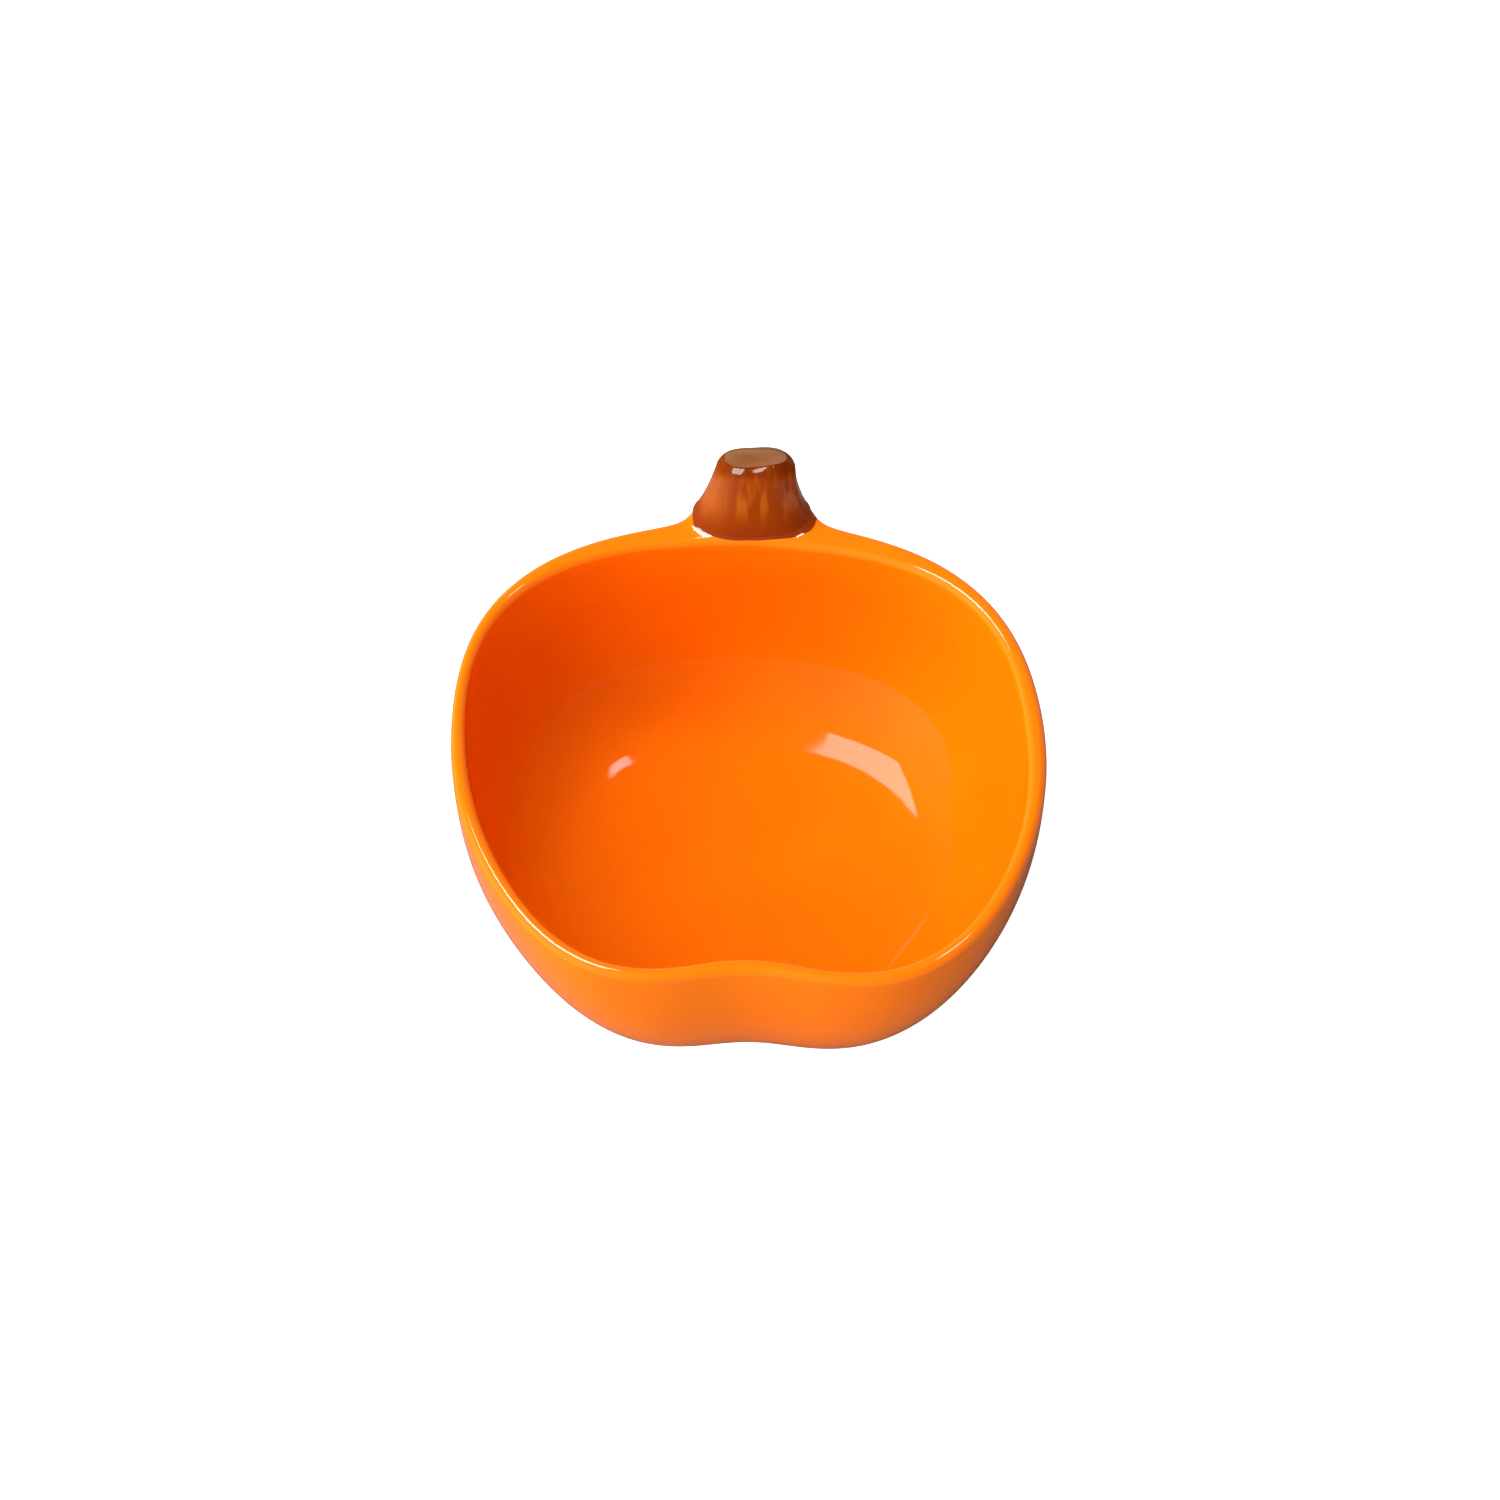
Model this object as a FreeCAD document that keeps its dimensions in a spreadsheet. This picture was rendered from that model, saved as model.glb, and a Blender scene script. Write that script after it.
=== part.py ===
import FreeCAD, Part, Sketcher
import math
import os

# Pumpkin-shaped glazed earthenware bowl with a short stem on the back of its rim.
# Frame: origin on the resting plane under the middle of the foot ring, +Z up,
# +Y from the front dimple towards the stem, +X to the right. Millimetres.
# Angles phi are seen from the bowl's centre: 0 at the front (-Y), growing towards +X.

os.makedirs("parts", exist_ok=True)
doc = FreeCAD.newDocument("pumpkin_bowl")
Vec = FreeCAD.Vector

# ---------------------------------------------------------------- sizes
SIZES = [
    # overall form
    ("rim_height", 59.0, "resting plane to the top of the glazed rim"),
    ("belly_height", 2.9, "underside of the glazed belly above the resting plane, at the foot"),
    ("curve_base", 1.0, "height of the flat base of the curve that shapes the wall"),
    ("heel_slope", 38.0, "slope of the wall where the heel curve takes over, degrees"),
    ("foot_slope", 5.0, "slope of the belly where it meets the foot, degrees"),
    ("floor_height", 5.6, "top of the glazed floor in the middle"),
    ("cavity_over", 1.0, "how far the cavity cut runs out above the rim"),
    ("glaze", 0.4, "fired glaze thickness"),
    ("wall", 4.3, "glazed wall thickness below the rim"),
    ("blend_low", 13.0, "height where the wall starts to change to the rim's thickness"),
    ("blend_end", 2.0, "depth below the rim where it has reached that thickness"),
    ("rim_round", 1.5, "edge radius of the glazed lip"),
    ("clay_round", 1.05, "edge radius of the clay lip under the glaze"),
    # foot
    ("foot_half_x", 37.0, "outer half-width of the foot ring"),
    ("foot_half_y", 40.0, "outer half-depth of the foot ring"),
    ("foot_ring", 5.0, "width of the foot ring"),
    ("foot_line", 1.2, "height of the bare clay band at the foot"),
    ("foot_round", 0.5, "edge radius of the foot ring"),
    ("foot_recess", 1.6, "depth of the recess inside the foot ring"),
    ("foot_gap", 1.0, "step from the foot's side out to the belly curve"),
    ("foot_overlap", 0.6, "how far the foot runs up into the clay belly"),
    ("skirt_overlap", 0.3, "how far the glaze round the foot runs up into the belly"),
    ("skirt_reach", 2.0, "how far that glaze ring reaches in from the foot's side"),
    # belly: half-axes of the flat start of the belly curve and the wall fullness
    ("base_half_x", 34.0, "half-width where the belly curve starts"),
    ("base_half_y", 38.0, "half-depth where the belly curve starts"),
    ("base_dimple", 8.0, "depth of the front dimple low on the belly"),
    ("base_dimple_span", 0.33, "angular half-span of that dimple, radians"),
    ("full_side", 2.42, "fullness of the wall at the sides"),
    ("full_corner", 1.61, "fullness of the wall at the front corners"),
    ("full_front", 2.35, "fullness of the wall at front and back"),
    # outlines of the rim
    ("outer_mean", 76.434, "mean radius of the rim's outer outline"),
    ("outer_dimple", 14.555, "depth of the front dimple in the outer outline"),
    ("outer_dimple_span", 0.42, "its angular half-span, radians"),
    ("inner_mean", 71.255, "mean radius of the rim's inner outline"),
    ("inner_dimple", 12.952, "depth of the front dimple in the inner outline"),
    ("inner_dimple_span", 0.40, "its angular half-span, radians"),
    # swelling of the back wall that carries the stem
    ("lug_out", 14.2, "how far the wall swells out behind the stem at the rim"),
    ("lug_span", 0.194, "its angular half-span at the rim, radians"),
    ("lug_flare", 0.55, "share by which it is wider where it starts"),
    ("lug_turn", 0.013, "its turn from the back towards +X, radians"),
    ("lug_power", 6.0, "steepness of its flanks"),
    ("lug_low", 19.0, "height where the swelling starts"),
    ("lug_rise", 2.2, "how late it sweeps out: 1 is straight, more is more hollow"),
    # stem
    ("stem_shift", 1.0, "stem centre to the right of the bowl's middle"),
    ("socket_floor", 57.3, "height of the floor of the stem's seat"),
    ("slip_floor", 0.5, "thickness of the slip under the stem"),
    ("slip_top", 58.1, "height where the slip ends and the brown glaze starts"),
    ("stem_round", 1.5, "edge radius of the glazed stem end"),
    ("stem_clay_round", 1.1, "edge radius of the clay stem end"),
]

# Harmonics of the rim outlines' radius; term a turns once round the bowl, b twice, and so on
HARMONICS = "abcdefg"
OUTLINE_TERMS = {
    "outer_cos": (1.652, 2.594, 2.228, -1.276, 0.120, -0.112, -0.296),
    "outer_sin": (-0.398, 1.265, 0.102, -0.103, 0.100, -0.130, -0.056),
    "inner_cos": (2.386, 1.102, 2.627, -1.776, 0.038, -0.072, -0.316),
    "inner_sin": (-0.802, 1.573, 0.111, -0.195, 0.002, -0.010, -0.055),
}
for series, terms in OUTLINE_TERMS.items():
    for letter, term in zip(HARMONICS, terms):
        SIZES.append((series + "_" + letter, term, "harmonic of the rim outline"))

sheet = doc.addObject("Spreadsheet::Sheet", "Sizes")
for row, (alias, value, note) in enumerate(SIZES, start=1):
    sheet.set("A%d" % row, alias.replace("_", " "))
    sheet.set("B%d" % row, repr(value))
    sheet.set("C%d" % row, note)
    sheet.setAlias("B%d" % row, alias)
doc.recompute()


def size(alias):
    return float(sheet.get(alias))


RIM = size("rim_height")
GLAZE = size("glaze")

# Sampling of the form
WALL_POINTS = 150        # intervals along the wall's curve
WALL_START = 0.012       # first point, as a share of the curve's height
WALL_SPACING = 1.6       # above 1 crowds the points towards the bottom
HEEL_POINTS = 40         # intervals along the heel curve
HEEL_HANDLE = 0.35       # Bezier handle at the wall, as a share of the chord
FOOT_HANDLE = 0.5        # Bezier handle at the foot, as a share of the chord
HEEL_CLEARANCE = 0.25    # height left free between the heel curve and the next wall point
CURVE_OVER = 6           # height by which inset curves run on above the rim
BACK_ZONE = 0.33         # half-angle round the back that is sampled finely
FINE_STEP = 0.0375       # radians
COARSE_STEP = 0.085      # radians
LEAST_STEP = 0.02        # least gap before the closing point, radians


# ---------------------------------------------------------------- bowl form
# Side curves are lists of (radius, z) that rise with z.
def dimple(which, phi):
    return size(which + "_dimple") * math.exp(-(phi / size(which + "_dimple_span")) ** 2)


def ellipse_radius(which, phi):
    half_x, half_y = size(which + "_half_x"), size(which + "_half_y")
    return 1 / math.hypot(math.sin(phi) / half_x, math.cos(phi) / half_y)


def outline(which, phi):
    """Plan radius of the rim's outer or inner edge."""
    radius = size(which + "_mean")
    for k, letter in enumerate(HARMONICS, start=1):
        radius += size("%s_cos_%s" % (which, letter)) * math.cos(k * phi)
        radius += size("%s_sin_%s" % (which, letter)) * math.sin(k * phi)
    return radius - dimple(which, phi)


def fullness(phi):
    side, corner, front = size("full_side"), size("full_corner"), size("full_front")
    u = math.cos(phi) ** 2
    if math.cos(phi) > 0:
        return side * (1 - u) ** 2 + 2 * corner * u * (1 - u) + front * u * u
    return side + (front - side) * u


def lug(phi, z):
    """Outward swelling of the back wall under the stem."""
    away = abs((phi + size("lug_turn")) % (2 * math.pi) - math.pi)
    low = size("lug_low")
    rise = min(1.0, max(0.0, (z - low) / (RIM - low))) ** size("lug_rise")
    span = size("lug_span") * (1 + size("lug_flare") * (1 - rise))
    return size("lug_out") * rise / (1 + (away / span) ** size("lug_power"))


def wall_curve(phi):
    """The wall's own curve, a superellipse quarter from the base out to the rim."""
    base = ellipse_radius("base", phi) - dimple("base", phi)
    rim, power, low = outline("outer", phi), fullness(phi), size("curve_base")
    points = []
    for i in range(WALL_POINTS + 1):
        t = WALL_START + (1 - WALL_START) * (i / WALL_POINTS) ** WALL_SPACING
        radius = base + (rim - base) * (1 - (1 - t) ** power) ** (1 / power)
        points.append((radius, low + t * (RIM - low)))
    return points


def heel_top(wall):
    """Point where the wall's curve passes the heel slope."""
    steep = math.tan(math.radians(size("heel_slope")))

    def slope(j):
        return (wall[j + 1][1] - wall[j][1]) / (wall[j + 1][0] - wall[j][0])

    k = 0
    while slope(k) < steep:
        k += 1
    share = (steep - slope(k - 1)) / (slope(k) - slope(k - 1))
    share = min(0.999, max(0.0, share))
    # slopes belong to the middles of the intervals
    return [(before + at) / 2 * (1 - share) + (at + after) / 2 * share
            for before, at, after in zip(wall[k - 1], wall[k], wall[k + 1])]


def side_curve(phi):
    """Glazed outside of the bowl at phi, without the lug: the wall's own curve, and
    below the heel slope a Bezier curve that turns in to the foot."""
    wall = wall_curve(phi)
    top_r, top_z = heel_top(wall)
    foot_r, foot_z = ellipse_radius("foot", phi) + size("foot_gap"), size("belly_height")
    chord = math.hypot(top_r - foot_r, top_z - foot_z)
    up, out = math.radians(size("heel_slope")), math.radians(size("foot_slope"))
    poles = [
        (foot_r, foot_z),
        (foot_r + FOOT_HANDLE * chord * math.cos(out), foot_z + FOOT_HANDLE * chord * math.sin(out)),
        (top_r - HEEL_HANDLE * chord * math.cos(up), top_z - HEEL_HANDLE * chord * math.sin(up)),
        (top_r, top_z),
    ]
    points = []
    for i in range(HEEL_POINTS + 1):
        q = i / HEEL_POINTS
        weights = ((1 - q) ** 3, 3 * q * (1 - q) ** 2, 3 * q * q * (1 - q), q ** 3)
        points.append(tuple(sum(w * pole[axis] for w, pole in zip(weights, poles))
                            for axis in (0, 1)))
    return points + [point for point in wall if point[1] > top_z + HEEL_CLEARANCE]


def at_height(curve, z):
    """Radius of a side curve at height z."""
    for (r0, z0), (r1, z1) in zip(curve, curve[1:]):
        if z <= z1:
            return r0 + (r1 - r0) * (z - z0) / (z1 - z0) if z1 > z0 else r1
    return curve[-1][0]


def moved_in(curve, depth, floor=None):
    """Side curve moved inwards along its normal by depth(z). With a floor height,
    it goes on inwards at the foot slope down to that floor."""
    moved = []
    for i, (radius, z) in enumerate(curve):
        r0, z0 = curve[max(0, i - 1)]
        r1, z1 = curve[min(len(curve) - 1, i + 1)]
        dr, dz = r1 - r0, z1 - z0
        length = math.hypot(dr, dz)
        inset = depth(z)
        moved.append((radius - inset * dz / length, z + inset * dr / length))
    moved.append((moved[-1][0], RIM + CURVE_OVER))
    rising = [moved[0]]
    for point in moved[1:]:
        if point[1] > rising[-1][1] + 1e-6:
            rising.append(point)
    if floor is not None:
        radius, z = rising[0]
        run = (z - floor) / math.tan(math.radians(size("foot_slope")))
        rising.insert(0, (radius - run, floor))
    return rising


def sample_angles():
    """Angles once round from the back, closer together near the stem."""
    angles = []
    phi = -math.pi
    while phi < math.pi - 1e-9:
        angles.append(phi)
        from_back = min(phi + math.pi, math.pi - phi)
        phi += FINE_STEP if from_back < BACK_ZONE else COARSE_STEP
    if math.pi - angles[-1] < LEAST_STEP:
        angles.pop()
    return angles


PHIS = sample_angles()
CURVES = [side_curve(phi) for phi in PHIS]
RIM_WALL = {phi: outline("outer", phi) - outline("inner", phi) for phi in PHIS}


def wall_at(phi, z):
    """Wall thickness: the rim's own thickness at the top, the cast thickness below."""
    low, high = size("blend_low"), RIM - size("blend_end")
    s = min(1.0, max(0.0, (z - low) / (high - low)))
    return size("wall") + (RIM_WALL[phi] - size("wall")) * s * s * (3 - 2 * s)


def surface_curves(kind, inset):
    """Side curves at every angle of the "Outer" surface or the "Cavity", lying
    inset deep under the glazed surface."""
    found = []
    for phi, curve in zip(PHIS, CURVES):
        if kind == "Cavity":
            found.append(moved_in(curve, lambda z: wall_at(phi, z) - inset,
                                  size("floor_height") - inset))
            continue
        swollen = [(radius + lug(phi, z), z) for radius, z in curve]
        found.append(moved_in(swollen, lambda z: inset) if inset else swollen)
    return found


def closed_curve(points, knots):
    curve = Part.BSplineCurve()
    curve.interpolate(Points=points, Parameters=knots, PeriodicFlag=True)
    return curve


def ring(curves, z):
    """Closed outline through the side curves at height z."""
    points = []
    for phi, curve in zip(PHIS, curves):
        radius = at_height(curve, z)
        points.append(Vec(radius * math.sin(phi), -radius * math.cos(phi), 0))
    return closed_curve(points, PHIS + [PHIS[0] + 2 * math.pi])


# ---------------------------------------------------------------- body features
def new_body(label):
    body = doc.addObject("PartDesign::Body", label)
    body.Label = label
    doc.recompute()
    return body


def sketch(body, name, height=None):
    """Empty sketch parallel to the body's XY plane; height is an expression."""
    flat = body.newObject("Sketcher::SketchObject", name)
    base = [f for f in body.Origin.OriginFeatures if f.Role == "XY_Plane"][0]
    flat.AttachmentSupport = [(base, "")]
    flat.MapMode = "FlatFace"
    if height:
        flat.setExpression("AttachmentOffset.Base.z", height)
    return flat


def extrude(body, kind, name, profile, length, backwards=False):
    feature = body.newObject("PartDesign::" + kind, name)
    feature.Profile = profile
    feature.Reversed = backwards
    feature.setExpression("Length", length)
    doc.recompute()


def foot_sketch(body, name, edges, height=None):
    """Sketch of the foot's ellipse grown by each entry of edges, deeper than wide.
    An entry is the growth as an expression and as a value."""
    flat = sketch(body, name, height)
    for growth, value in edges:
        half_x, half_y = size("foot_half_x") + value, size("foot_half_y") + value
        oval = Part.Ellipse(Vec(0, half_y, 0), Vec(-half_x, 0, 0), Vec(0, 0, 0))
        geo = flat.addGeometry(oval, False)
        flat.exposeInternalGeometry(geo)
        major, minor = geo + 1, geo + 2
        flat.addConstraint(Sketcher.Constraint("Coincident", geo, 3, -1, 1))
        flat.addConstraint(Sketcher.Constraint("Vertical", major))
        for axis, half, alias in ((major, half_y, "foot_half_y"), (minor, half_x, "foot_half_x")):
            index = flat.addConstraint(Sketcher.Constraint("Distance", axis, 2 * half))
            flat.setExpression("Constraints[%d]" % index, "2 * (Sizes.%s + (%s))" % (alias, growth))
    return flat


FOOT_OUTER = ("0", 0.0)
FOOT_INNER = ("-Sizes.foot_ring", -size("foot_ring"))
SKIRT_OUTER = ("Sizes.glaze", GLAZE)
SKIRT_INNER = ("-Sizes.skirt_reach", -size("skirt_reach"))


def fillet_level_edges(body, name, height, alias):
    """Round the large edges in the horizontal plane at that height. The diagonal
    limit leaves out the inner edge of the foot ring."""
    edges = []
    for i, edge in enumerate(body.Shape.Edges, start=1):
        box = edge.BoundBox
        level = abs(box.ZMin - height) < 0.02 and abs(box.ZMax - height) < 0.02
        if level and box.DiagonalLength > 100:
            edges.append("Edge%d" % i)
    base = body.Tip
    feature = body.newObject("PartDesign::Fillet", name)
    feature.Base = (base, edges)
    feature.setExpression("Radius", "Sizes." + alias)
    doc.recompute()


def surface_loft(body, tag, kind, inset, bottom, top, spans):
    """Loft through rings from bottom to top, closer together low down; each of the
    two is a height as an expression and as a value. The cavity is cut away."""
    curves = surface_curves(kind, inset)
    sections = []
    for i in range(spans + 1):
        s = round((i / spans) ** 2, 5)
        height = "(%s) * (1 - %s) + (%s) * %s" % (bottom[0], s, top[0], s)
        section = sketch(body, "%s%s%02d" % (tag, kind, i), height)
        section.addGeometry(ring(curves, bottom[1] + (top[1] - bottom[1]) * s), False)
        sections.append(section)
    if kind == "Cavity":
        feature = body.newObject("PartDesign::SubtractiveLoft", tag + "Cavity")
    else:
        feature = body.newObject("PartDesign::AdditiveLoft", tag + "Wall")
    feature.Profile = sections[0]
    feature.Sections = sections[1:]
    feature.Ruled = False
    feature.Closed = False
    doc.recompute()


def bowl_form(body, tag, inset):
    """Wall and cavity; inset 0 is the glazed surface, the glaze thickness the clay's."""
    depth = "Sizes.glaze" if inset else "0"
    surface_loft(body, tag, "Outer", inset,
                 bottom=("Sizes.belly_height + " + depth, size("belly_height") + inset),
                 top=("Sizes.rim_height - " + depth, RIM - inset), spans=14)
    surface_loft(body, tag, "Cavity", inset,
                 bottom=("Sizes.floor_height - " + depth, size("floor_height") - inset),
                 top=("Sizes.rim_height + Sizes.cavity_over", RIM + size("cavity_over")), spans=13)


def clay_bowl():
    """Clay wall with its foot ring."""
    body = new_body("clay_bowl")
    bowl_form(body, "Clay", GLAZE)
    fillet_level_edges(body, "ClayLip", RIM - GLAZE, "clay_round")
    extrude(body, "Pad", "Foot", foot_sketch(body, "FootSketch", [FOOT_OUTER]),
            "Sizes.belly_height + Sizes.glaze + Sizes.foot_overlap")
    whole = body.Shape.Volume
    # reversed, so that it cuts upwards from the resting plane
    extrude(body, "Pocket", "FootRecess", foot_sketch(body, "RecessSketch", [FOOT_INNER]),
            "Sizes.foot_recess", backwards=True)
    if not body.Shape.Volume < whole - 1000:
        raise RuntimeError("the foot recess cut nothing")
    fillet_level_edges(body, "FootEdge", 0.0, "foot_round")
    return body


def glazed_bowl():
    """Bowl out to the glaze surface, with the glaze round the foot's side."""
    body = new_body("glazed_bowl")
    bowl_form(body, "Glazed", 0.0)
    fillet_level_edges(body, "GlazedLip", RIM, "rim_round")
    profile = foot_sketch(body, "FootGlazeSketch", [SKIRT_OUTER, SKIRT_INNER], "Sizes.foot_line")
    extrude(body, "Pad", "FootGlaze", profile,
            "Sizes.belly_height - Sizes.foot_line + Sizes.skirt_overlap")
    return body


def underside_glaze():
    """Glaze disc in the recess of the foot."""
    body = new_body("underside_glaze")
    profile = foot_sketch(body, "UndersideCoatSketch", [FOOT_INNER],
                          "Sizes.foot_recess - Sizes.glaze")
    extrude(body, "Pad", "UndersideCoat", profile, "Sizes.glaze")
    return body


# ---------------------------------------------------------------- stem
# Sections from the seat up: centre y and z, half-width, half-depth, lean back (deg), shift right
STEM = [
    (76.05, 57.30, 15.4, 8.65, 0.0, 0.0),
    (76.20, 58.30, 15.4, 8.80, 1.5, 0.0),
    (76.70, 59.30, 14.8, 8.82, 4.0, 0.02),
    (77.75, 60.90, 13.6, 8.60, 9.0, 0.08),
    (79.35, 63.00, 12.1, 8.22, 14.5, 0.18),
    (81.40, 66.05, 10.8, 7.72, 21.0, 0.32),
    (83.95, 70.45, 9.8, 7.20, 30.0, 0.50),
]
STEM_LAST = len(STEM) - 1
STEM_POINTS = 28       # points round a section
STEM_SQUARENESS = 2.35  # superellipse power; 2 is a plain ellipse
FACETS = 5             # soft facets round the stem
FACET_DEPTH = 0.012    # their depth at the stem's end, as a share of the radius
FACET_TURN = 0.6       # radians


def stem_ring(half_x, half_y, k):
    """Rounded section k of the stem, more faceted towards the end."""
    power = 2 / STEM_SQUARENESS
    points = []
    for i in range(STEM_POINTS):
        q = 2 * math.pi * i / STEM_POINTS
        c, s = math.cos(q), math.sin(q)
        facet = 1 + FACET_DEPTH * k * math.cos(FACETS * q + FACET_TURN) / STEM_LAST
        points.append(Vec(half_x * facet * math.copysign(abs(c) ** power, c),
                          half_y * facet * math.copysign(abs(s) ** power, s), 0))
    return closed_curve(points, [float(i) for i in range(STEM_POINTS + 1)])


def stem_form(label, tag, inset, start, radius):
    """Stem lofted through its sections from height start, with its end rounded over."""
    sections = []
    for k, (y, z, half_x, half_y, lean, shift) in enumerate(STEM):
        if k == STEM_LAST:
            y -= inset * math.sin(math.radians(lean))
            z -= inset * math.cos(math.radians(lean))
        section = doc.addObject("Sketcher::SketchObject", "%sStem%02d" % (tag, k))
        section.addGeometry(stem_ring(half_x - inset, half_y - inset, k), False)
        section.Placement = FreeCAD.Placement(Vec(shift, y, z),
                                              FreeCAD.Rotation(Vec(1, 0, 0), -lean))
        section.setExpression("Placement.Base.x", "Sizes.stem_shift + %g" % shift)
        if k == 0:
            section.setExpression("Placement.Base.z", start)
        sections.append(section)
    shaft = doc.addObject("Part::Loft", tag + "StemShaft")
    shaft.Sections = sections
    shaft.Solid = True
    shaft.Ruled = False
    shaft.Closed = False
    doc.recompute()
    # the edge round the end: high, wide and not a seam along the shaft
    end = [i for i, edge in enumerate(shaft.Shape.Edges, start=1)
           if edge.BoundBox.ZMax > 70 and edge.BoundBox.XLength > 12
           and edge.BoundBox.ZLength < 9]
    rounded = doc.addObject("Part::Fillet", label)
    rounded.Label = label
    rounded.Base = shaft
    rounded.Edges = [(i, size(radius), size(radius)) for i in end]
    doc.recompute()
    return rounded


# ---------------------------------------------------------------- fitted pieces
def combine(kind, label, base, tool):
    result = doc.addObject("Part::" + kind, label)
    result.Label = label
    result.Base = base
    result.Tool = tool
    result.Refine = False
    return result


def slip_zone():
    """Box round the stem's seat, up to where the slip ends."""
    bottom = 40
    zone = doc.addObject("Part::Box", "slip_zone")
    zone.Length = 60
    zone.Width = 60
    zone.Placement = FreeCAD.Placement(Vec(-30, 50, bottom), FreeCAD.Rotation())
    zone.setExpression("Height", "Sizes.slip_top - %d" % bottom)
    return zone


clay = clay_bowl()
glazed = glazed_bowl()
stem = stem_form("stem", "Clay", GLAZE, "Sizes.socket_floor + Sizes.slip_floor",
                 "stem_clay_round")
stem_glazed = stem_form("glazed_stem", "Glazed", 0.0, "Sizes.socket_floor", "stem_round")

bowl_body = combine("Cut", "bowl_body", clay, stem_glazed)
coat = combine("Cut", "coat", glazed, clay)
orange_glaze = combine("Cut", "orange_glaze", coat, stem_glazed)

# The skin round the clay stem is slip low down and brown glaze above
zone = slip_zone()
skin = combine("Cut", "skin", stem_glazed, stem)
brown_glaze = combine("Cut", "brown_glaze", skin, zone)
slip = combine("Common", "stem_slip_joint", skin, zone)

underside = underside_glaze()

# ---------------------------------------------------------------- check and write
for obj in doc.Objects:
    bad = [state for state in obj.State if state in ("Invalid", "Error")]
    if bad:
        raise RuntimeError("%s: %s" % (obj.Name, bad))

for part in (bowl_body, stem, slip, orange_glaze, brown_glaze, underside):
    if part.Shape.isNull() or not part.Shape.isValid():
        raise RuntimeError(part.Label + " has no valid shape")
    part.Shape.exportStep("parts/" + part.Label + ".step")
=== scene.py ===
# Orange-glazed clay bowl with a brown-glazed stem standing on the back of its lip.
# It stands on z = 0 about the z axis: front is -y, the stem is at +y, left is -x.
# Shapes are worked out in mm and turned into metres in new_mesh; materials, lights and
# camera are in metres. phi is the angle round the bowl from the front towards +x.
import bmesh
import bpy
import math
import numpy as np
from mathutils import Matrix, Vector


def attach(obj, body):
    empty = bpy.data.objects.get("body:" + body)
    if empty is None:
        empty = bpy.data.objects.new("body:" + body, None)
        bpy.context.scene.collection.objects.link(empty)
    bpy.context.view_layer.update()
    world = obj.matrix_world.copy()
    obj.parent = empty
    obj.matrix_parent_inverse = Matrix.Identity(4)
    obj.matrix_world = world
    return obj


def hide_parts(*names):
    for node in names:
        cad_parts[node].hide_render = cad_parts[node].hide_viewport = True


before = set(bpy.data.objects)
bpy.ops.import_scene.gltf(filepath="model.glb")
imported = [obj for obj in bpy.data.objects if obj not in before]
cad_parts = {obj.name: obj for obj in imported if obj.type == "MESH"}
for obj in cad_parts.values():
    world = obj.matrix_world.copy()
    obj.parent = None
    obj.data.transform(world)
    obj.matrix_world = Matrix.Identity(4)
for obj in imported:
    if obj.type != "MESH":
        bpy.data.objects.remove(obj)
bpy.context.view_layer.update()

MM = 0.001

# ------------------------------------------------------------------ bowl sizes (mm)
HEIGHT = 59.0
GLAZE = 0.4                         # room left for the glaze over the clay
COAT = 0.9 * GLAZE                  # thickness of the glaze itself
INSET = GLAZE + 0.01                # clay surface below the glazed surface
WALL = 4.3                          # wall thickness below the rim
FLOOR = 5.6                         # height of the inside floor
BEND = 13.0                         # height below which the inside turns into the floor
CLAY_FOOT = (37.0, 40.0)            # half-axes x, y
GLAZE_FOOT = (CLAY_FOOT[0] + GLAZE, CLAY_FOOT[1] + GLAZE)
FOOT_LINE = 1.2                     # lower edge of the glaze
FOOT_TOP = 2.9                      # where the foot meets the underside
FOOT_ROUND = 0.8
FOOT_SLOPE = math.radians(5.0)      # slope of the underside as it leaves the foot
HEEL = math.radians(38.0)           # slope where the underside runs into the wall

# The wall curve starts on an ellipse, pushed in at the front, and swells to the rim.
CURVE_BASE = (34.0, 38.0)           # half-axes x, y
CURVE_BASE_Z = 1.0
CURVE_START = 0.012                 # share of the curve's height left out at the bottom
DENT, DENT_SPAN = 8.0, 0.33         # depth, angle
FULL_SIDES, FULL_ENDS, FULL_BETWEEN = 2.42, 2.35, 1.61   # powers of the swelling curve

# Rim outlines in plan: radius as cosine and sine series, less a dip at the front.
OUTER = dict(cosines=[76.434, 1.652, 2.594, 2.228, -1.276, 0.120, -0.112, -0.296],
             sines=[-0.398, 1.265, 0.102, -0.103, 0.100, -0.130, -0.056],
             dip=14.555, span=0.42)
INNER = dict(cosines=[71.255, 2.386, 1.102, 2.627, -1.776, 0.038, -0.072, -0.316],
             sines=[-0.802, 1.573, 0.111, -0.195, 0.002, -0.010, -0.055],
             dip=12.952, span=0.40)

# Lug swelling out of the back under the stem.
LUG_REACH, LUG_LOW = 14.2, 19.0     # at the rim; height where it starts
LUG_SPAN, LUG_TURN = 0.171, 0.013   # angles: half-width at the rim, turn off the back

LIP_ROUND, LIP_SHARE = 1.95, 0.46   # corner radius, at most this share of the lip's width

# Plan outline of the stem's base where it meets the lip: a superellipse.
STEM_X = 0.45
EDGE_CENTRE, EDGE_HALF, EDGE_POWER = (STEM_X, 75.75), (15.2, 8.55), 2.4
FLARE_HEIGHT = 0.75                 # rise of the lip at that outline
SOCKET_FLOOR = 57.25                # floor of the pocket for the stem

# Unglazed foot ring and recess: offset from CLAY_FOOT, height; from the recess outwards.
FOOT_RING = ((-5.0, 1.6), (-5.0, 0.5), (-4.85, 0.15), (-4.5, 0.0),
             (-0.5, 0.0), (-0.15, 0.15), (0.0, 0.5), (0.0, 1.15))

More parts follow.
